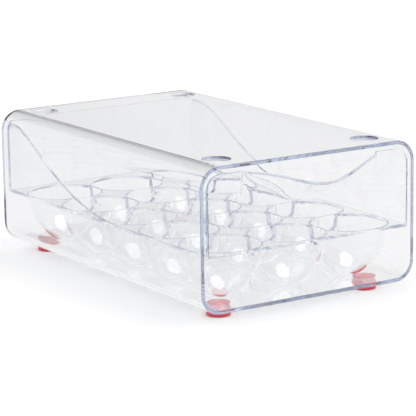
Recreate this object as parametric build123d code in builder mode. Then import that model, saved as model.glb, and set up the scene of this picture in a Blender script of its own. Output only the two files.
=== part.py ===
from build123d import *
import os
from math import cos, hypot, pi, radians, sin

# Egg keeper: a clear sleeve, closed at the back, that stands on four rubber feet and stacks on its
# own kind, with a pull-out drawer moulded as a tray of egg cups. Millimetres. +Z is up, +Y points to
# the closed back and X across. The origin is on the surface the keeper stands on, under the middle
# of its closed length, pull lip included.

# ---- driving dimensions: egg cups ----
cup_rows = 5
cup_columns = 3
cup_pitch_x = 49.6
cup_pitch_y = 49.0
cup_mouth_radius = 24.9
cup_mouth_round = 0.5
cup_waist_radius = 24.5
cup_waist_drop = 8.5
cup_nose_radius = 16.7
cup_nose_angle = 38.0
cup_depth = 33.7
cup_wall = 1.3
cup_partition = 1.2

# ---- driving dimensions: drawer ----
drawer_wall = 1.8
tray_side_margin = 2.8
first_cup_setback = 27.4
last_cup_setback = 32.8
drawer_side_gap = 2.8
drawer_end_gap = 0.3
drawer_floor_gap = 0.3
front_head_gap = 2.8
back_head_gap = 5.2
panel_corner = 10.0
side_wall_start = 100.0
side_wall_sweep = 90.0
side_wall_rise = 40.0

# ---- driving dimensions: pull lip on the front panel ----
lip_half_width = 52.0
lip_reach = 20.0
lip_edge_dip = 9.7
lip_root_dip = 17.6
lip_root_spread = 1.44
lip_edge_spread = 0.9
lip_fullness = 0.7
lip_blend = 6.0

# ---- driving dimensions: sleeve ----
sleeve_height = 93.7
sleeve_wall = 2.5
sleeve_back = 2.5
sleeve_corner = 14.2
back_edge_round = 2.0
rim_edge_round = 0.5

# ---- driving dimensions: feet and the recesses that take the feet of a keeper stacked on top ----
foot_radius = 8.0
foot_stand = 6.0
foot_disc = 3.6
foot_spigot_radius = 7.2
foot_spigot_depth = 1.2
foot_edge_round = 0.8
foot_inset_x = 25.3
foot_inset_y = 20.0
stacking_clearance = 1.0
stacking_depth = 1.5

# ---- sizes worked out from them: the cups set the drawer, and the drawer sets the sleeve ----
drawer_half_width = cup_columns * cup_pitch_x / 2 + tray_side_margin
drawer_length = first_cup_setback + (cup_rows - 1) * cup_pitch_y + last_cup_setback
sleeve_width = 2 * (drawer_half_width + drawer_side_gap + sleeve_wall)
sleeve_length = drawer_length + drawer_end_gap + sleeve_back

# ---- places worked out from them ----
front_y = (lip_reach - sleeve_length) / 2
drawer_back_y = front_y + drawer_length
inside_back_y = drawer_back_y + drawer_end_gap
back_y = inside_back_y + sleeve_back
sleeve_middle_y = (front_y + back_y) / 2
foot_spacing_x = sleeve_width - 2 * foot_inset_x
foot_spacing_y = sleeve_length - 2 * foot_inset_y
cup_field_y = front_y + first_cup_setback + (cup_rows - 1) * cup_pitch_y / 2

sleeve_base = foot_stand
sleeve_top = sleeve_base + sleeve_height
inside_floor = sleeve_base + sleeve_wall
inside_roof = sleeve_top - sleeve_wall
tray_top = inside_floor + drawer_floor_gap + cup_wall + cup_depth
tray_bottom = tray_top - drawer_wall
front_top = inside_roof - front_head_gap
back_top = inside_roof - back_head_gap


def rounded_tube_section(inset):
    """Outline of the sleeve, moved inwards by inset, as a face of the open sketch."""
    RectangleRounded(
        sleeve_width - 2 * inset,
        sleeve_height - 2 * inset,
        sleeve_corner - inset,
    )


# ---- sleeve: one moulding, open at the front ----
sleeve_centre = (0, (sleeve_base + sleeve_top) / 2)

with BuildPart() as sleeve:
    with BuildSketch(Plane.XZ.offset(-back_y)):
        with Locations(sleeve_centre):
            rounded_tube_section(0)
    extrude(amount=sleeve_length)
    fillet(sleeve.faces().sort_by(Axis.Y)[-1].edges(), radius=back_edge_round)
    with BuildSketch(Plane.XZ.offset(-inside_back_y)):
        with Locations(sleeve_centre):
            rounded_tube_section(sleeve_wall)
    extrude(amount=sleeve_length, mode=Mode.SUBTRACT)
    fillet(sleeve.faces().sort_by(Axis.Y)[0].edges(), radius=rim_edge_round)
    # shallow round recesses in the roof and pockets for the feet in the underside
    with BuildSketch(Plane.XY.offset(sleeve_top)):
        with Locations((0, sleeve_middle_y)):
            with GridLocations(foot_spacing_x, foot_spacing_y, 2, 2):
                Circle(foot_radius + stacking_clearance)
    extrude(amount=-stacking_depth, mode=Mode.SUBTRACT)
    with BuildSketch(Plane.XY.offset(sleeve_base)):
        with Locations((0, sleeve_middle_y)):
            with GridLocations(foot_spacing_x, foot_spacing_y, 2, 2):
                Circle(foot_spigot_radius)
    extrude(amount=foot_spigot_depth, mode=Mode.SUBTRACT)
sleeve.part.label = "sleeve"


# ---- feet: rubber buttons, each a disc with a spigot that fills its pocket ----
def rubber_foot(place_x, place_y):
    """One foot, standing on the ground at the given place."""
    with BuildPart() as foot:
        with BuildSketch(Plane.XY):
            with Locations((place_x, place_y)):
                Circle(foot_radius)
        extrude(amount=foot_disc)
        fillet(foot.edges(), radius=foot_edge_round)
        with BuildSketch(Plane.XY.offset(foot_disc)):
            with Locations((place_x, place_y)):
                Circle(foot_spigot_radius)
        extrude(amount=foot_stand - foot_disc + foot_spigot_depth)
    return foot.part


feet = {}
for row_name, row_y in (("front", -foot_spacing_y / 2), ("back", foot_spacing_y / 2)):
    for side_name, side_x in (("left", -foot_spacing_x / 2), ("right", foot_spacing_x / 2)):
        foot_part = rubber_foot(side_x, sleeve_middle_y + row_y)
        foot_part.label = f"foot_{row_name}_{side_name}"
        feet[foot_part.label] = foot_part


# ---- egg cup: a drafted mouth, a rounded side and a ball nose, turned about Z ----
def cup_solid(growth, depth, mouth_round):
    """The cup's hollow (growth 0) or its outside (growth is the wall), tray top at z = 0."""
    nose_radius = cup_nose_radius + growth
    nose_height = -depth + nose_radius
    turn = radians(cup_nose_angle)
    nose_end = (nose_radius * sin(turn), nose_height - nose_radius * cos(turn))
    mouth = (cup_mouth_radius + growth, -mouth_round)
    waist = (cup_waist_radius + growth, -cup_waist_drop)
    brim = (cup_mouth_radius + growth + mouth_round, 0)
    with BuildPart() as cup:
        with BuildSketch(Plane.XZ):
            with BuildLine():
                Line((0, -depth), (0, 0))
                Line((0, 0), brim)
                if mouth_round > 0:
                    RadiusArc(brim, mouth, -mouth_round)
                Line(mouth, waist)
                TangentArc(nose_end, waist, tangent=(cos(turn), sin(turn)))
                CenterArc((0, nose_height), nose_radius, -90, cup_nose_angle)
            make_face()
        revolve(axis=Axis.Z)
    return cup.part


cup_outside = cup_solid(cup_wall, cup_depth + cup_wall, 0)
cup_hollow = cup_solid(0, cup_depth, cup_mouth_round)


# ---- egg tray: the plate and its cups, whose mouths overlap and are kept apart by flat partitions ----
with BuildPart() as cup_hollows:
    with GridLocations(cup_pitch_x, cup_pitch_y, cup_columns, cup_rows):
        add(cup_hollow)
    with GridLocations(cup_pitch_x, cup_pitch_y, cup_columns - 1, 1):
        Box(cup_partition, cup_rows * cup_pitch_y, 2 * cup_depth, mode=Mode.SUBTRACT)
    with GridLocations(cup_pitch_x, cup_pitch_y, 1, cup_rows - 1):
        Box(cup_columns * cup_pitch_x, cup_partition, 2 * cup_depth, mode=Mode.SUBTRACT)

with BuildPart() as egg_tray:
    with BuildSketch(Plane.XY.offset(tray_bottom)):
        with Locations((0, (front_y + drawer_back_y) / 2)):
            Rectangle(2 * drawer_half_width, drawer_length)
    extrude(amount=drawer_wall)
    with Locations((0, cup_field_y, tray_top)):
        with GridLocations(cup_pitch_x, cup_pitch_y, cup_columns, cup_rows):
            add(cup_outside)
        add(cup_hollows.part, mode=Mode.SUBTRACT)


# ---- pull lip: the middle of the front panel's upper band, scooped down and flared out ----
def lip_outline(place_x):
    """Outline of the front panel's upper band at place_x; its X is the drawer's Y, its Y is Z."""
    share = abs(place_x) / lip_half_width
    reach = lip_reach * (1 - share**2) ** lip_fullness
    edge_z = front_top - lip_edge_dip * (1 + cos(pi * min(share / lip_edge_spread, 1))) / 2
    root_z = front_top - lip_root_dip * (1 + cos(pi * share / lip_root_spread)) / 2
    slope = (edge_z - root_z, reach)
    length = hypot(*slope)
    rise, forward = slope[0] / length, slope[1] / length
    bend = drawer_wall * forward / (1 + rise)
    front = front_y
    rear = front_y + drawer_wall
    edge_front = (front - reach, edge_z - drawer_wall * forward)
    edge_rear = (edge_front[0] + drawer_wall * rise, edge_z)
    with BuildLine() as outline:
        Bezier((front, band_bottom), (front, root_z), edge_front)
        Line(edge_front, edge_rear)
        Bezier(edge_rear, (rear, root_z + bend), (rear, band_bottom))
        Line((rear, band_bottom), (front, band_bottom))
    return outline.line


band_bottom = front_top - lip_root_dip - lip_blend
lip_stations = [lip_half_width * share for share in (-1, -0.8, -0.55, -0.28, 0, 0.28, 0.55, 0.8, 1)]

with BuildPart() as pull_lip:
    for station in lip_stations:
        with BuildSketch(Plane.YZ.offset(station)):
            add(lip_outline(station))
            make_face()
    loft()


# ---- drawer: one moulding of tray, walls, front panel and lip ----
with BuildPart() as egg_drawer:
    # back wall
    with BuildSketch(Plane.XZ.offset(-drawer_back_y)):
        with Locations((0, (tray_bottom + back_top) / 2)):
            Rectangle(2 * drawer_half_width, back_top - tray_bottom)
    extrude(amount=drawer_wall)
    # side walls that sweep up from the tray to the back wall
    for wall_x in (-drawer_half_width, drawer_half_width - drawer_wall):
        with BuildSketch(Plane.YZ.offset(wall_x)):
            with BuildLine():
                Bezier(
                    (front_y + side_wall_start, tray_top),
                    (front_y + side_wall_start + side_wall_sweep, tray_top),
                    (drawer_back_y - side_wall_rise, back_top),
                    (drawer_back_y, back_top),
                )
                Line((drawer_back_y, back_top), (drawer_back_y, tray_bottom))
                Line((drawer_back_y, tray_bottom), (front_y + side_wall_start, tray_bottom))
                Line((front_y + side_wall_start, tray_bottom), (front_y + side_wall_start, tray_top))
            make_face()
        extrude(amount=drawer_wall)
    # the walls' upper corners follow the sleeve's rounded corners
    with BuildSketch(Plane.XZ.offset(-drawer_back_y)):
        with Locations(sleeve_centre):
            rounded_tube_section(sleeve_wall + drawer_side_gap)
    extrude(amount=drawer_length, mode=Mode.INTERSECT)
    # front panel with rounded upper corners
    with BuildSketch(Plane.XZ.offset(-(front_y + drawer_wall))):
        with Locations((0, (tray_bottom + front_top) / 2)):
            panel_outline = Rectangle(2 * drawer_half_width, front_top - tray_bottom)
        fillet(panel_outline.vertices().group_by(Axis.Y)[-1], radius=panel_corner)
    extrude(amount=drawer_wall)
    # the scooped middle of the front panel gives way to the flared lip
    with BuildSketch(Plane.XZ.offset(-(front_y + drawer_wall))):
        with Locations((0, (band_bottom + front_top) / 2)):
            Rectangle(2 * lip_half_width, front_top - band_bottom)
    extrude(amount=drawer_wall, mode=Mode.SUBTRACT)
    add(pull_lip.part)
    add(egg_tray.part)
egg_drawer.part.label = "egg_drawer"


# ---- write one STEP file for each piece ----
os.makedirs("parts", exist_ok=True)
for piece in [sleeve.part, egg_drawer.part, *feet.values()]:
    export_step(piece, f"parts/{piece.label}.step")
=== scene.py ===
from math import atan2, cos, hypot, pi, radians, sin, sqrt

import bmesh
import bpy
from mathutils import Matrix, Vector


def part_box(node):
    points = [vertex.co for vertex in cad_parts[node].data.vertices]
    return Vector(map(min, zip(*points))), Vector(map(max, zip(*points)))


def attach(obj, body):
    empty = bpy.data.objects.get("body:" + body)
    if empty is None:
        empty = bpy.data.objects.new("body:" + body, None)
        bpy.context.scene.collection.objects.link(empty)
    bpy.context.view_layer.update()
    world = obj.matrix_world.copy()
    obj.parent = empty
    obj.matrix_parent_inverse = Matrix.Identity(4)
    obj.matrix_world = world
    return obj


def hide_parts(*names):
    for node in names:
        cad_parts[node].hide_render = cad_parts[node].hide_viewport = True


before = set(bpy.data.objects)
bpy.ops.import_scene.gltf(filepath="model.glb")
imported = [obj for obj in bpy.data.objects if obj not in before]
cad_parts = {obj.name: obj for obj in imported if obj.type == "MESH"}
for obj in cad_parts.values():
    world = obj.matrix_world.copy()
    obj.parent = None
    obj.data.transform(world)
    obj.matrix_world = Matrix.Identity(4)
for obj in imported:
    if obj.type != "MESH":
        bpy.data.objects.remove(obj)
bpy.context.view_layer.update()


# ---- Sleeve ----
# The outer case: one moulding in clear styrene, closed at the back and open at the front. Its roof
# has a round seat above each foot, so that a second keeper stacks on it, and its underside has a
# pocket for each foot. Every edge has the small round that the mould and the polishing leave.
sleeve_low, sleeve_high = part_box("sleeve")
sleeve_wall = 0.0025
sleeve_corner = 0.0142
sleeve_back_round = 0.002
sleeve_edge_round, sleeve_edge_angle = 0.0004, radians(40)
sleeve_corner_steps, sleeve_back_steps, round_hole_steps = 14, 4, 64
seat_radius, seat_depth = 0.009, 0.0015
pocket_radius, pocket_depth = 0.0072, 0.0012
foot_inset_x, foot_inset_y = 0.0253, 0.020
foot_places = [
    (x, y)
    for x in (sleeve_low.x + foot_inset_x, sleeve_high.x - foot_inset_x)
    for y in (sleeve_low.y + foot_inset_y, sleeve_high.y - foot_inset_y)
]


def new_piece(name, low, high):
    """A plain block between two corners, which the steps that follow shape."""
    bpy.ops.object.select_all(action="DESELECT")
    bpy.ops.mesh.primitive_cube_add(size=1.0, location=(low + high) / 2, scale=high - low)
    piece = bpy.context.object
    piece.name = name
    bpy.ops.object.transform_apply(location=True, rotation=True, scale=True)
    return piece


def pick(piece, kind, wanted):
    """Goes into edit mode with only those vertices, edges or faces selected that are wanted."""
    bpy.ops.object.select_all(action="DESELECT")
    bpy.context.view_layer.objects.active = piece
    piece.select_set(True)
    bpy.ops.object.mode_set(mode="EDIT")
    bpy.ops.mesh.select_mode(type={"verts": "VERT", "edges": "EDGE", "faces": "FACE"}[kind])
    bpy.ops.mesh.select_all(action="DESELECT")
    shape = bmesh.from_edit_mesh(piece.data)
    for element in getattr(shape, kind):
        if wanted(element):
            element.select_set(True)
    shape.select_flush_mode()
    bmesh.update_edit_mesh(piece.data)


def runs_along(axis):
    """True for an edge that lies along the axis: 0 for X, 1 for Y, 2 for Z."""
    return lambda edge: abs((edge.verts[0].co - edge.verts[1].co).normalized()[axis]) > 0.999


def carve(piece, cutter):
    """Takes the cutter's shape out of the piece, and the cutter away."""
    cut = piece.modifiers.new("cut", "BOOLEAN")
    cut.operation = "DIFFERENCE"
    cut.solver = "EXACT"
    cut.object = cutter
    bpy.context.view_layer.objects.active = piece
    bpy.ops.object.modifier_apply(modifier=cut.name)
    bpy.data.objects.remove(cutter)


def finish_moulding(piece, edge_round, angle):
    """Rounds the sharp edges a little and shades the piece as one polished surface."""
    rounding = piece.modifiers.new("edge_round", "BEVEL")
    rounding.width = edge_round
    rounding.segments = 3
    rounding.limit_method = "ANGLE"
    rounding.angle_limit = angle
    bpy.ops.object.select_all(action="DESELECT")
    bpy.context.view_layer.objects.active = piece
    piece.select_set(True)
    bpy.ops.object.modifier_apply(modifier=rounding.name)
    bpy.ops.object.shade_smooth()
    flats = piece.modifiers.new("flats", "WEIGHTED_NORMAL")
    flats.weight = 100
    flats.thresh = 0.01
    bpy.ops.object.modifier_apply(modifier=flats.name)


sleeve = new_piece("sleeve_moulding", sleeve_low, sleeve_high)
pick(sleeve, "edges", runs_along(1))
bpy.ops.mesh.bevel(offset=sleeve_corner, segments=sleeve_corner_steps, affect="EDGES")
bpy.ops.object.mode_set(mode="OBJECT")
pick(sleeve, "faces", lambda face: face.normal.y > 0.99)
bpy.ops.mesh.bevel(offset=sleeve_back_round, segments=sleeve_back_steps, affect="EDGES")
bpy.ops.object.mode_set(mode="OBJECT")

# the hollow runs out past the front edge, which leaves that end open
wall = Vector((sleeve_wall, sleeve_wall, sleeve_wall))
past_front = Vector((0.0, sleeve_wall + 0.02, 0.0))
cavity = new_piece("cavity", sleeve_low + wall - past_front, sleeve_high - wall)
pick(cavity, "edges", runs_along(1))
bpy.ops.mesh.bevel(offset=sleeve_corner - sleeve_wall, segments=sleeve_corner_steps, affect="EDGES")
bpy.ops.object.mode_set(mode="OBJECT")
carve(sleeve, cavity)

# a drill for each round hollow stands half in the sleeve, so that it cuts as deep as its own half
for x, y in foot_places:
    for radius, depth, z in (
        (seat_radius, seat_depth, sleeve_high.z),
        (pocket_radius, pocket_depth, sleeve_low.z),
    ):
        bpy.ops.mesh.primitive_cylinder_add(
            vertices=round_hole_steps, radius=radius, depth=2 * depth, location=(x, y, z)
        )
        carve(sleeve, bpy.context.object)
finish_moulding(sleeve, sleeve_edge_round, sleeve_edge_angle)


def ramp(nodes, links, driver, stops):
    """A colour ramp through stops of (place, colour), read at the driving socket's value."""
    node = nodes.new("ShaderNodeValToRGB")
    elements = node.color_ramp.elements
    for element, (place, tone) in zip(elements, (stops[0], stops[-1])):
        element.position = place
        element.color = tone
    for place, tone in stops[1:-1]:
        stop = elements.new(place)
        stop.color = tone
    links.new(driver, node.inputs["Fac"])
    return node


def clear_plastic(name, tint, density):
    """Clear styrene, which is tinted along the light's way through it and casts a pale shadow."""
    material = bpy.data.materials.new(name)
    material.use_nodes = True
    nodes, links = material.node_tree.nodes, material.node_tree.links
    shader = nodes["Principled BSDF"]
    shader.inputs["Transmission Weight"].default_value = 1.0
    shader.inputs["Roughness"].default_value = 0.015
    shader.inputs["IOR"].default_value = 1.52
    place = nodes.new("ShaderNodeTexCoord")
    haze = nodes.new("ShaderNodeTexNoise")
    haze.inputs["Scale"].default_value = 14.0
    haze.inputs["Detail"].default_value = 2.0
    links.new(place.outputs["Object"], haze.inputs["Vector"])
    stops = ((0.0, (0.975, 0.98, 0.985, 1.0)), (1.0, (1.0, 1.0, 1.0, 1.0)))
    shade = ramp(nodes, links, haze.outputs["Fac"], stops)
    links.new(shade.outputs["Color"], shader.inputs["Base Color"])
    body = nodes.new("ShaderNodeVolumeAbsorption")
    body.inputs["Color"].default_value = tint
    body.inputs["Density"].default_value = density
    output = nodes["Material Output"]
    links.new(body.outputs["Volume"], output.inputs["Volume"])
    lit = nodes.new("ShaderNodeBsdfTransparent")
    lit.inputs["Color"].default_value = (0.90, 0.905, 0.91, 1.0)
    rays = nodes.new("ShaderNodeLightPath")
    through = nodes.new("ShaderNodeMixShader")
    links.new(rays.outputs["Is Shadow Ray"], through.inputs["Fac"])
    links.new(shader.outputs["BSDF"], through.inputs[1])
    links.new(lit.outputs["BSDF"], through.inputs[2])
    links.new(through.outputs["Shader"], output.inputs["Surface"])
    return material


sleeve_tint, sleeve_density = (0.38, 0.50, 0.76, 1.0), 3.0
sleeve.data.materials.append(clear_plastic("sleeve_styrene", sleeve_tint, sleeve_density))
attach(sleeve, "sleeve")
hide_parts("sleeve")


# ---- Feet ----
# Four buttons of red rubber. Each is moulded as a disc with a narrower spigot, and the spigot is
# pressed into its pocket under the sleeve, with a thin film of air left over its top.
foot_radius, foot_disc, foot_edge = 0.008, 0.0036, 0.0008
foot_steps, foot_edge_steps = 48, 4
foot_air = 0.00015
foot_height = sleeve_low.z + pocket_depth - foot_air


def turned(name, outline, steps, place):
    """Turns an outline of (radius, height) points once round the upright line through a place."""
    drawn = bpy.data.meshes.new(name)
    points = [(place.x + radius, place.y, place.z + height) for radius, height in outline]
    drawn.from_pydata(points, [(i, i + 1) for i in range(len(points) - 1)], [])
    piece = bpy.data.objects.new(name, drawn)
    bpy.context.scene.collection.objects.link(piece)
    pick(piece, "verts", lambda vert: True)
    bpy.ops.mesh.spin(steps=steps, angle=2 * pi, center=place, axis=(0, 0, 1))
    bpy.ops.mesh.select_all(action="SELECT")
    bpy.ops.mesh.remove_doubles(threshold=1e-6)
    bpy.ops.object.mode_set(mode="OBJECT")
    return piece


def multiplied(nodes, links, first, second):
    """The product of two colours, out of a Mix node's colour sockets."""
    product = nodes.new("ShaderNodeMix")
    product.data_type = "RGBA"
    product.blend_type = "MULTIPLY"
    product.inputs["Factor"].default_value = 1.0
    links.new(first, product.inputs[6])
    links.new(second, product.inputs[7])
    return product.outputs[2]


# the red rubber with painted light in its colour: a darker red at the ground is painted shade, the top
# of the spigot is deep red, and the pale band between them is a painted reflection of the white room
ground_red_painted_shade, disc_red = (0.74, 0.01, 0.05, 1.0), (0.88, 0.12, 0.18, 1.0)
neck_painted_reflection, top_red = (0.98, 0.40, 0.45, 1.0), (0.90, 0.0, 0.03, 1.0)
foot_rubber = bpy.data.materials.new("red_rubber")
foot_rubber.use_nodes = True
nodes, links = foot_rubber.node_tree.nodes, foot_rubber.node_tree.links
shader = nodes["Principled BSDF"]
shader.inputs["Roughness"].default_value = 0.32
place = nodes.new("ShaderNodeTexCoord")
mottle = nodes.new("ShaderNodeTexNoise")
mottle.inputs["Scale"].default_value = 260.0
mottle.inputs["Detail"].default_value = 3.0
links.new(place.outputs["Object"], mottle.inputs["Vector"])
stops = ((0.0, (0.86, 0.8, 0.8, 1.0)), (1.0, (1.0, 1.0, 1.0, 1.0)))
cloud = ramp(nodes, links, mottle.outputs["Fac"], stops)
upright = nodes.new("ShaderNodeSeparateXYZ")
links.new(place.outputs["Object"], upright.inputs["Vector"])
level = nodes.new("ShaderNodeMapRange")
level.inputs["From Max"].default_value = foot_height
links.new(upright.outputs["Z"], level.inputs["Value"])
# colour by height: the darker red at the ground is painted shade, and the pale pink neck is a painted
# reflection
stops = (
    (0.0, ground_red_painted_shade),
    (0.3, disc_red),
    (0.5, neck_painted_reflection),
    (0.93, neck_painted_reflection),
    (0.97, top_red),
    (1.0, top_red),
)
reds_and_painted_light = ramp(nodes, links, level.outputs["Result"], stops)
mottled = multiplied(nodes, links, reds_and_painted_light.outputs["Color"], cloud.outputs["Color"])
links.new(mottled, shader.inputs["Base Color"])
grain = nodes.new("ShaderNodeTexNoise")
grain.inputs["Scale"].default_value = 2600.0
links.new(place.outputs["Object"], grain.inputs["Vector"])
skin = nodes.new("ShaderNodeBump")
skin.inputs["Strength"].default_value = 0.12
skin.inputs["Distance"].default_value = 0.0001
links.new(grain.outputs["Fac"], skin.inputs["Height"])
links.new(skin.outputs["Normal"], shader.inputs["Normal"])

foot_names = ("foot_front_left", "foot_back_left", "foot_front_right", "foot_back_right")
foot_outline = [
    (0.0, 0.0),
    (foot_radius, 0.0),
    (foot_radius, foot_disc),
    (pocket_radius, foot_disc),
    (pocket_radius, foot_height),
    (0.0, foot_height),
]


def round_the_disc(x, y):
    """True for an edge that runs round the disc's outside, above or below."""

    def goes_round(edge):
        start, end = (vert.co for vert in edge.verts)
        outside = all(hypot(point.x - x, point.y - y) > foot_radius * 0.99 for point in (start, end))
        return outside and abs(start.z - end.z) < 1e-6

    return goes_round


for name, (x, y) in zip(foot_names, foot_places):
    foot = turned(name + "_rubber", foot_outline, foot_steps, Vector((x, y, 0.0)))
    pick(foot, "faces", lambda face: True)
    bpy.ops.mesh.normals_make_consistent(inside=False)
    bpy.ops.object.mode_set(mode="OBJECT")
    pick(foot, "edges", round_the_disc(x, y))
    bpy.ops.mesh.bevel(offset=foot_edge, segments=foot_edge_steps, affect="EDGES")
    bpy.ops.object.mode_set(mode="OBJECT")
    bpy.ops.object.shade_smooth_by_angle(angle=radians(35))
    foot.data.materials.append(foot_rubber)
    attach(foot, "sleeve")
    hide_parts(name)


# ---- Drawer ----
# One clear moulding: a tray of egg cups parted by thin flat walls, a front panel that scoops down and
# flares out into the pull lip, and side walls that sweep up to the back wall.
drawer_low, drawer_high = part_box("egg_drawer")
drawer_wall = 0.0018
cup_wall, cup_depth = 0.0013, 0.0337
tray_top = drawer_low.z + cup_wall + cup_depth
lip_reach = 0.020
panel_y = drawer_low.y + lip_reach
inner_x = drawer_high.x - drawer_wall
inner_front, inner_back = panel_y + drawer_wall, drawer_high.y - drawer_wall

cup_columns, cup_rows = 3, 5
cup_pitch_x, cup_pitch_y = 0.0496, 0.049
first_cup_setback = 0.0274
first_cup = panel_y + first_cup_setback
cup_partition = 0.0012
mouth_radius, mouth_round = 0.0249, 0.0005
waist_radius, waist_drop = 0.0245, 0.0085
nose_radius, nose_turn = 0.0167, radians(38)
skirt_radius = 0.044
cup_steps = 120


def cup_outline(growth, top, lip_round):
    """The cup's outline from its flat surround at a height down to its nose, as (radius, height)."""
    nose = nose_radius + growth
    floor = -(cup_depth + growth)
    nose_end = Vector((nose * sin(nose_turn), floor + nose * (1 - cos(nose_turn))))
    waist = Vector((waist_radius + growth, -waist_drop))
    slope = (mouth_radius - waist_radius) / waist_drop
    # the side is an arc that leaves the ball nose smoothly and meets the waist
    inward = Vector((-sin(nose_turn), cos(nose_turn)))
    chord = waist - nose_end
    side_radius = chord.length_squared / (2 * chord.dot(inward))
    side_centre = nose_end + side_radius * inward
    mouth = waist.x + slope * (waist_drop + top)
    points = [(skirt_radius, top)]
    for step in range(5 if lip_round else 1):
        turn = pi / 2 * step / 4
        points.append((mouth + lip_round * (1 - sin(turn)), top - lip_round * (1 - cos(turn))))
    for drop in (0.0024, 0.0038, 0.0053, 0.0068):
        points.append((waist.x + slope * (waist_drop - drop), -drop))
    first = atan2(waist.y - side_centre.y, waist.x - side_centre.x)
    last = atan2(nose_end.y - side_centre.y, nose_end.x - side_centre.x)
    for step in range(9):
        turn = first + (last - first) * step / 8
        points.append((side_centre.x + side_radius * cos(turn), side_centre.y + side_radius * sin(turn)))
    for step in range(1, 7):
        turn = nose_turn * (1 - step / 6)
        points.append((nose * sin(turn), floor + nose * (1 - cos(turn))))
    return points


def flatten_sides(cup, centre, column, row):
    """Presses the cup flat where it would reach into a neighbour, which leaves a thin partition."""
    for axis, pitch, place, count in (
        (0, cup_pitch_x, column, cup_columns),
        (1, cup_pitch_y, row, cup_rows),
    ):
        for side in (-1, 1):
            if place + side not in range(count):
                continue
            face = (pitch - cup_partition) / 2
            normal = [0.0, 0.0, 0.0]
            normal[axis] = 1.0
            pick(cup, "verts", lambda vert: True)
            bpy.ops.mesh.bisect(
                plane_co=centre + side * face * Vector(normal), plane_no=normal, threshold=1e-7
            )
            bpy.ops.object.mode_set(mode="OBJECT")
            for vert in cup.data.vertices:
                across = (vert.co[axis] - centre[axis]) * side
                flare = hypot(vert.co.x - centre.x, vert.co.y - centre.y) - mouth_radius
                if face < across and flare < mouth_round + 1e-6:
                    vert.co[axis] = centre[axis] + side * min(across, face + max(0.0, flare))


def cup_field(name, growth, top, lip_round):
    """Fifteen turned cups, each trimmed square where it meets its neighbours or the tray's edge."""
    pattern = turned(name, cup_outline(growth, top, lip_round), cup_steps, Vector((0.0, 0.0, 0.0)))
    cups = []
    for row in range(cup_rows):
        for column in range(cup_columns):
            centre = Vector(((column - 1) * cup_pitch_x, first_cup + row * cup_pitch_y, tray_top))
            cup = pattern.copy()
            cup.data = pattern.data.copy()
            bpy.context.scene.collection.objects.link(cup)
            cup.data.transform(Matrix.Translation(centre))
            if lip_round:
                flatten_sides(cup, centre, column, row)
            limits = (
                ((-1, 0, 0), centre.x - cup_pitch_x / 2 if column > 0 else drawer_low.x),
                ((1, 0, 0), centre.x + cup_pitch_x / 2 if column < cup_columns - 1 else drawer_high.x),
                ((0, -1, 0), centre.y - cup_pitch_y / 2 if row > 0 else panel_y),
                ((0, 1, 0), centre.y + cup_pitch_y / 2 if row < cup_rows - 1 else drawer_high.y),
            )
            for normal, place in limits:
                pick(cup, "verts", lambda vert: True)
                on_plane = (place, 0, 0) if normal[0] else (0, place, 0)
                bpy.ops.mesh.bisect(plane_co=on_plane, plane_no=normal, clear_outer=True, threshold=1e-7)
                bpy.ops.object.mode_set(mode="OBJECT")
            cups.append(cup)
    bpy.data.objects.remove(pattern)
    bpy.ops.object.select_all(action="DESELECT")
    for cup in cups:
        cup.select_set(True)
    bpy.context.view_layer.objects.active = cups[0]
    bpy.ops.object.join()
    cups[0].name = name
    return cups[0]


drawer = cup_field("drawer_moulding", 0.0, 0.0, mouth_round)
underside = cup_field("tray_underside", cup_wall, -drawer_wall, 0.0)
bpy.ops.object.select_all(action="DESELECT")
underside.select_set(True)
drawer.select_set(True)
bpy.context.view_layer.objects.active = drawer
bpy.ops.object.join()
pick(drawer, "verts", lambda vert: True)
bpy.ops.mesh.remove_doubles(threshold=1e-5)
bpy.ops.object.mode_set(mode="OBJECT")
pick(drawer, "edges", lambda edge: edge.is_boundary)
bpy.ops.mesh.bridge_edge_loops()
bpy.ops.object.mode_set(mode="OBJECT")


def score(wanted, axis, place):
    """Cuts the wanted faces along a plane across an axis, so that a wall can be drawn up from there."""
    pick(drawer, "faces", wanted)
    normal = [0.0, 0.0, 0.0]
    normal[axis] = 1.0
    bpy.ops.mesh.bisect(plane_co=[place * part for part in normal], plane_no=normal, threshold=1e-7)
    bpy.ops.object.mode_set(mode="OBJECT")


def on_tray(face):
    return all(abs(vert.co.z - tray_top) < 1e-6 for vert in face.verts)


def in_panel(face):
    return on_tray(face) and face.calc_center_median().y < inner_front


for side in (-1, 1):
    score(on_tray, 0, side * inner_x)
score(on_tray, 1, inner_front)
score(on_tray, 1, inner_back)

# the back and side walls: their top edge sweeps up from the tray, inside the sleeve's round corners
wall_start, sweep_run, sweep_rise = panel_y + 0.100, 0.090, 0.040
wall_root = wall_start + 0.004
back_head_gap = 0.0052
back_top = sleeve_high.z - sleeve_wall - back_head_gap
corner_x, corner_z = sleeve_high.x - sleeve_corner, sleeve_high.z - sleeve_corner
corner_round = sleeve_corner - (sleeve_high.x - drawer_high.x)


def sweep_height(y):
    """Height of the side wall's top edge above a place along the drawer."""
    low, high = 0.0, 1.0
    marks = (wall_start, wall_start + sweep_run, drawer_high.y - sweep_rise, drawer_high.y)
    for _ in range(40):
        share = (low + high) / 2
        rest = 1 - share
        reached = rest**3 * marks[0] + 3 * rest**2 * share * marks[1]
        reached += 3 * rest * share**2 * marks[2] + share**3 * marks[3]
        low, high = (share, high) if reached < y else (low, share)
    return tray_top + (3 * (1 - low) * low**2 + low**3) * (back_top - tray_top)


def in_wall(face):
    middle = face.calc_center_median()
    beside = abs(middle.x) > inner_x and middle.y > wall_root
    return on_tray(face) and (beside or middle.y > inner_back)


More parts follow.
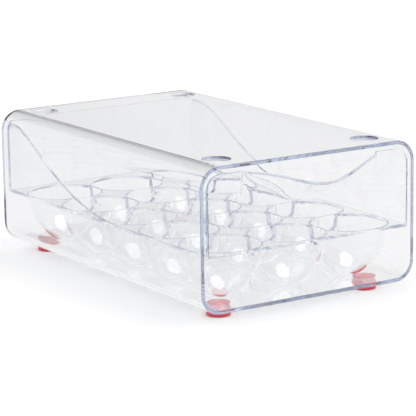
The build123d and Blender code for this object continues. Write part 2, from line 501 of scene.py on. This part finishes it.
score(on_tray, 1, wall_root)
for side in (-1, 1):
    for beyond in (-0.001, 0.0006, 0.0012):
        score(in_wall, 0, side * (inner_x + beyond))
pick(drawer, "faces", in_wall)
bpy.ops.mesh.extrude_region_move(TRANSFORM_OT_translate={"value": (0, 0, 0.001)})
shape = bmesh.from_edit_mesh(drawer.data)
for vert in shape.verts:
    if vert.select:
        past = min(corner_round, max(0.0, abs(vert.co.x) - corner_x))
        under_corner = corner_z + sqrt(corner_round**2 - past**2)
        vert.co.z = min(sweep_height(vert.co.y), under_corner, back_top)
bmesh.update_edit_mesh(drawer.data)
bpy.ops.object.mode_set(mode="OBJECT")

# the front panel, drawn up level by level: its upper corners are round, and its middle follows the lip
front_head_gap = 0.0028
front_top = sleeve_high.z - sleeve_wall - front_head_gap
panel_corner, panel_corner_steps = 0.010, 10
lip_half_width, lip_edge_dip, lip_root_dip, lip_blend = 0.052, 0.0097, 0.0176, 0.006
lip_edge_spread, lip_root_spread = 0.9, 1.44
lip_fullness, lip_end_pull, lip_end_power = 0.7, 0.4, 24
band_bottom = front_top - lip_root_dip - lip_blend
lip_levels = 14


def panel_point(x, rear, share):
    """Place of the panel's front or rear face at x, from the band's bottom (share 0) to its edge."""
    out = min(1.0, abs(x) / lip_half_width)
    reach = lip_reach * (1 - out**2) ** lip_fullness * (1 - lip_end_pull * out**lip_end_power)
    edge_z = front_top - lip_edge_dip * (1 + cos(pi * min(out / lip_edge_spread, 1))) / 2
    root_z = front_top - lip_root_dip * (1 + cos(pi * out / lip_root_spread)) / 2
    past = max(0.0, abs(x) - (drawer_high.x - panel_corner))
    if past > 0:
        edge_z = front_top - panel_corner + sqrt(max(0.0, panel_corner**2 - past**2))
        root_z = min(root_z, (edge_z + band_bottom) / 2)
    length = hypot(edge_z - root_z, reach)
    rise, forward = (edge_z - root_z) / length, reach / length
    edge = Vector((panel_y - reach, edge_z - drawer_wall * forward))
    start, bend = Vector((panel_y, band_bottom)), Vector((panel_y, root_z))
    if rear:
        edge = Vector((edge.x + drawer_wall * rise, edge_z))
        start.x = bend.x = inner_front
        bend.y += drawer_wall * forward / (1 + rise)
    return (1 - share) ** 2 * start + 2 * (1 - share) * share * bend + share**2 * edge


for side in (-1, 1):
    for step in range(panel_corner_steps):
        turn = pi / 2 * step / panel_corner_steps
        score(in_panel, 0, side * (drawer_high.x - panel_corner * (1 - sin(turn))))

# the panel's long foot edges are split first, so that its lip is smooth from side to side
coarse_edge = 0.0009


def is_coarse_foot_edge(edge):
    """True for a long edge on the tray along the panel's front or rear face."""
    level = all(abs(vert.co.z - tray_top) < 1e-6 for vert in edge.verts)
    on_face = any(all(abs(vert.co.y - y) < 1e-6 for vert in edge.verts) for y in (panel_y, inner_front))
    return level and on_face and edge.calc_length() > coarse_edge


pick(drawer, "edges", is_coarse_foot_edge)
bpy.ops.mesh.subdivide(number_cuts=2)
bpy.ops.object.mode_set(mode="OBJECT")
pick(drawer, "faces", in_panel)
level_rise = 0.001
for level in range(lip_levels + 1):
    bpy.ops.mesh.extrude_region_move(TRANSFORM_OT_translate={"value": (0, 0, level_rise)})
    shape = bmesh.from_edit_mesh(drawer.data)
    for vert in shape.verts:
        if vert.select:
            x, below = vert.co.x, Vector((vert.co.y, vert.co.z - level_rise))
            if level == 0:
                rear = below.x > panel_y + drawer_wall / 2
            else:
                last = (level - 1) / lip_levels
                from_rear = (below - panel_point(x, True, last)).length
                rear = from_rear < (below - panel_point(x, False, last)).length
            vert.co.y, vert.co.z = panel_point(x, rear, level / lip_levels)
    bmesh.update_edit_mesh(drawer.data)
bpy.ops.object.mode_set(mode="OBJECT")


def round_sharp(piece, edge_round, within):
    """Rounds the sharp edges of a piece that lie within a part of it, after turning all its faces
    outward.
    """
    pick(piece, "faces", lambda face: True)
    bpy.ops.mesh.normals_make_consistent(inside=False)
    bpy.ops.object.mode_set(mode="OBJECT")
    sharp = radians(50)
    pick(
        piece,
        "edges",
        lambda edge: edge.is_manifold and edge.calc_face_angle(0) > sharp and within(edge),
    )
    bpy.ops.mesh.bevel(offset=edge_round, segments=2, affect="EDGES", clamp_overlap=False)
    bpy.ops.object.mode_set(mode="OBJECT")


def on_rim(edge):
    """True for an edge on the walls, the panel or the tray's own edge."""
    return all(
        abs(vert.co.x) > inner_x - 1e-5 or not inner_front + 1e-5 < vert.co.y < inner_back - 1e-5
        for vert in edge.verts
    )


drawer_edge_round = 0.0004
round_sharp(drawer, drawer_edge_round, on_rim)
bpy.ops.object.shade_smooth_by_angle(angle=radians(35))
flats = drawer.modifiers.new("flats", "WEIGHTED_NORMAL")
flats.keep_sharp = True
bpy.ops.object.modifier_apply(modifier=flats.name)
drawer_tint, drawer_density = (0.42, 0.51, 0.72, 1.0), 7.5
drawer.data.materials.append(clear_plastic("drawer_styrene", drawer_tint, drawer_density))
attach(drawer, "drawer")
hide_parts("egg_drawer")


# ---- Floor ----
# A wide matt white table. Seen straight on it stays white right up to the object's shadow, and the
# clear plastic shows it as an even white too.
def greys(stops):
    """Stops of (place, grey level) as stops of (place, colour)."""
    return [(place, (level, level, level, 1.0)) for place, level in stops]


bpy.ops.object.select_all(action="DESELECT")
bpy.ops.mesh.primitive_plane_add(size=40.0, location=(0.0, 0.0, -0.0002))
floor = bpy.context.object
floor.name = "floor"
floor_paint = bpy.data.materials.new("floor_paint")
floor_paint.use_nodes = True
nodes, links = floor_paint.node_tree.nodes, floor_paint.node_tree.links
paint = nodes["Principled BSDF"]
paint.inputs["Base Color"].default_value = (0.9, 0.9, 0.9, 1.0)
paint.inputs["Roughness"].default_value = 0.6
paint.inputs["Specular IOR Level"].default_value = 0.2
place = nodes.new("ShaderNodeTexCoord")
away = nodes.new("ShaderNodeVectorMath")
away.operation = "DISTANCE"
away.inputs[1].default_value = (0.1, -0.16, 0.0)
links.new(place.outputs["Object"], away.inputs[0])
stops = ((0.0, 0.08), (0.3, 0.18), (0.65, 0.32), (0.9, 0.36), (1.0, 0.38))
lift = ramp(nodes, links, away.outputs["Value"], greys(stops))
lift.color_ramp.interpolation = "B_SPLINE"
rays = nodes.new("ShaderNodeLightPath")
glow = nodes.new("ShaderNodeEmission")
links.new(lift.outputs["Color"], glow.inputs["Color"])
links.new(rays.outputs["Is Camera Ray"], glow.inputs["Strength"])
lifted = nodes.new("ShaderNodeAddShader")
links.new(paint.outputs["BSDF"], lifted.inputs[0])
links.new(glow.outputs["Emission"], lifted.inputs[1])
even = nodes.new("ShaderNodeEmission")
even.inputs["Color"].default_value = (0.95, 0.95, 0.95, 1.0)
in_glass = nodes.new("ShaderNodeMath")
in_glass.operation = "MAXIMUM"
links.new(rays.outputs["Is Transmission Ray"], in_glass.inputs[0])
links.new(rays.outputs["Is Glossy Ray"], in_glass.inputs[1])
share = nodes.new("ShaderNodeMath")
share.operation = "MULTIPLY"
share.inputs[1].default_value = 0.8
links.new(in_glass.outputs["Value"], share.inputs[0])
table = nodes.new("ShaderNodeMixShader")
links.new(share.outputs["Value"], table.inputs["Fac"])
links.new(lifted.outputs["Shader"], table.inputs[1])
links.new(even.outputs["Emission"], table.inputs[2])
links.new(table.outputs["Shader"], nodes["Material Output"].inputs["Surface"])
floor.data.materials.append(floor_paint)


# ---- Light ----
# A white room, dimmer on the viewer's side, with one dark patch behind that the round long edge
# mirrors as grey, and a round soft box above the open end, which each cup mirrors as one soft spot.
scene = bpy.context.scene
world = bpy.data.worlds.new("white_room")
world.use_nodes = True
scene.world = world
nodes, links = world.node_tree.nodes, world.node_tree.links
place = nodes.new("ShaderNodeTexCoord")
upright = nodes.new("ShaderNodeSeparateXYZ")
links.new(place.outputs["Generated"], upright.inputs["Vector"])
walls = ramp(nodes, links, upright.outputs["Z"], greys(((0.0, 0.82), (1.0, 0.90))))
from_patch = nodes.new("ShaderNodeVectorMath")
from_patch.operation = "DISTANCE"
from_patch.inputs[1].default_value = (0.2, 0.84, 0.45)
links.new(place.outputs["Generated"], from_patch.inputs[0])
stops = greys(((0.2, 0.4), (0.29, 0.45), (0.36, 0.8), (0.42, 1.0)))
patch = ramp(nodes, links, from_patch.outputs["Value"], stops)
patched = multiplied(nodes, links, walls.outputs["Color"], patch.outputs["Color"])
from_front = nodes.new("ShaderNodeVectorMath")
from_front.operation = "DISTANCE"
from_front.inputs[1].default_value = (-0.45, -0.85, 0.28)
links.new(place.outputs["Generated"], from_front.inputs[0])
front = ramp(nodes, links, from_front.outputs["Value"], greys(((0.3, 0.5), (0.95, 1.0))))
dimmed = multiplied(nodes, links, patched, front.outputs["Color"])
rays = nodes.new("ShaderNodeLightPath")
room = nodes.new("ShaderNodeMix")
room.data_type = "RGBA"
links.new(rays.outputs["Is Camera Ray"], room.inputs["Factor"])
links.new(dimmed, room.inputs[6])
room.inputs[7].default_value = (1.0, 1.0, 1.0, 1.0)
links.new(room.outputs[2], nodes["Background"].inputs["Color"])

soft_box = bpy.data.lights.new("soft_box", "AREA")
soft_box.shape = "DISK"
soft_box.size = 0.5
soft_box.energy = 1.7
soft_box_lamp = bpy.data.objects.new("soft_box", soft_box)
soft_box_lamp.location = (0.1, -0.16, 0.65)
scene.collection.objects.link(soft_box_lamp)


# ---- Camera ----
# A long lens, above the near left corner of the open end.
camera_data = bpy.data.cameras.new("camera")
camera_data.sensor_width = 36.0
camera_data.lens = 188.4
camera_data.shift_x = 0.0501
camera_data.shift_y = 0.0154
camera = bpy.data.objects.new("camera", camera_data)
scene.collection.objects.link(camera)
scene.camera = camera
turn, rise, lean = radians(-32.364), radians(12.531), radians(-0.984)
camera.matrix_world = (
    Matrix.Translation((-0.7816, -1.2077, 0.3590))
    @ Matrix.Rotation(turn, 4, "Z")
    @ Matrix.Rotation(radians(90) - rise, 4, "X")
    @ Matrix.Rotation(lean, 4, "Z")
)

# light that is caught in the clear walls needs many turns before it comes out at a rim
scene.view_settings.view_transform = "Standard"
scene.cycles.max_bounces = 100
scene.cycles.glossy_bounces = 100
scene.cycles.transmission_bounces = 100
scene.cycles.transparent_max_bounces = 100
